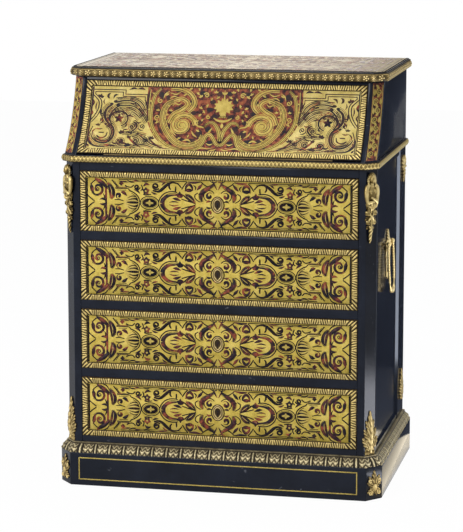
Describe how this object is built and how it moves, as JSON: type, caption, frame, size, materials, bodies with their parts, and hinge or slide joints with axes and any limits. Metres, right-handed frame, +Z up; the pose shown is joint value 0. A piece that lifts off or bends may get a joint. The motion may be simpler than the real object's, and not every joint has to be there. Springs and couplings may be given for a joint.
{
  "type": "dressing chest",
  "caption": "Tall ebonised chest of long drawers on a plinth, with a hollow fall front, a lid with a mirror under it, brass marquetry fronts and gilt mounts.",
  "frame": {"origin": "on the floor under the middle of the plinth", "axes": "+Z up, front towards -Y, +X to the viewer's right when facing the drawers"},
  "size_m": [0.863, 0.569, 1.1],
  "materials": {
    "ebonised_wood": "polished ebonised wood",
    "gilt_bronze": "cast and worn gilt bronze",
    "brass_marquetry": "brass and tortoiseshell marquetry on a wooden ground",
    "oak": "plain waxed oak",
    "hinge_brass": "dull brass",
    "silvered_mirror": "silvered glass"
  },
  "bodies": {
    "case": {"plinth": "ebonised_wood", "bottom_board": "ebonised_wood", "front_left_post": "ebonised_wood", "front_right_post": "ebonised_wood", "rear_left_post": "ebonised_wood", "rear_right_post": "ebonised_wood", "left_side_panel": "ebonised_wood", "right_side_panel": "ebonised_wood", "drawer_divider_1": "ebonised_wood", "drawer_divider_2": "ebonised_wood", "drawer_divider_3": "ebonised_wood", "frieze_rail": "ebonised_wood", "waist_board": "ebonised_wood", "left_cheek": "ebonised_wood", "right_cheek": "ebonised_wood", "top_rail": "ebonised_wood", "back_panel": "oak", "upper_back": "oak", "plinth_moulding": "gilt_bronze", "waist_moulding": "gilt_bronze", "left_caryatid": "gilt_bronze", "right_caryatid": "gilt_bronze", "left_leaf_mount": "gilt_bronze", "right_leaf_mount": "gilt_bronze", "left_plinth_spray": "gilt_bronze", "right_plinth_spray": "gilt_bronze", "rear_left_capital": "gilt_bronze", "rear_right_capital": "gilt_bronze", "rear_left_leaf_mount": "gilt_bronze", "rear_right_leaf_mount": "gilt_bronze", "left_handle_plate": "gilt_bronze", "right_handle_plate": "gilt_bronze", "lid_hinge_fixed": "hinge_brass", "fall_hinge_fixed": "hinge_brass"},
    "lid": {"lid_board": "brass_marquetry", "lid_moulding": "gilt_bronze", "mirror_frame": "oak", "mirror_glass": "silvered_mirror", "lid_hinge_moving": "hinge_brass"},
    "fall": {"fall_panel": "brass_marquetry", "fall_border": "gilt_bronze", "fall_hinge_moving": "hinge_brass"},
    "left_bail": {"left_handle_bail": "gilt_bronze"},
    "right_bail": {"right_handle_bail": "gilt_bronze"},
    "drawer_1": {"drawer_1_front": "brass_marquetry", "drawer_1_box": "oak", "drawer_1_border": "gilt_bronze", "drawer_1_escutcheon": "gilt_bronze"},
    "drawer_2": {"drawer_2_front": "brass_marquetry", "drawer_2_box": "oak", "drawer_2_border": "gilt_bronze", "drawer_2_escutcheon": "gilt_bronze"},
    "drawer_3": {"drawer_3_front": "brass_marquetry", "drawer_3_box": "oak", "drawer_3_border": "gilt_bronze", "drawer_3_escutcheon": "gilt_bronze"},
    "drawer_4": {"drawer_4_front": "brass_marquetry", "drawer_4_box": "oak", "drawer_4_border": "gilt_bronze", "drawer_4_escutcheon": "gilt_bronze"}
  },
  "joints": [
    {"name": "drawer_1_slide", "type": "slide", "parent": "case", "child": "drawer_1", "axis": [0, -1, 0], "range_m": [0, 0.36]},
    {"name": "drawer_2_slide", "type": "slide", "parent": "case", "child": "drawer_2", "axis": [0, -1, 0], "range_m": [0, 0.36]},
    {"name": "drawer_3_slide", "type": "slide", "parent": "case", "child": "drawer_3", "axis": [0, -1, 0], "range_m": [0, 0.36]},
    {"name": "drawer_4_slide", "type": "slide", "parent": "case", "child": "drawer_4", "axis": [0, -1, 0], "range_m": [0, 0.36]},
    {"name": "lid_hinge", "type": "hinge", "parent": "case", "child": "lid", "pos_m": [0, 0.2785, 1.07535], "axis": [-1, 0, 0], "range_deg": [0, 95]},
    {"name": "fall_hinge", "type": "hinge", "parent": "case", "child": "fall", "pos_m": [0, -0.2733, 0.88295], "axis": [1, 0, 0], "range_deg": [0, 110]},
    {"name": "left_bail_hinge", "type": "hinge", "parent": "case", "child": "left_bail", "pos_m": [-0.4145, -0.015, 0.636], "axis": [0, 1, 0], "range_deg": [0, 80]},
    {"name": "right_bail_hinge", "type": "hinge", "parent": "case", "child": "right_bail", "pos_m": [0.4145, -0.015, 0.636], "axis": [0, -1, 0], "range_deg": [0, 80]}
  ]
}
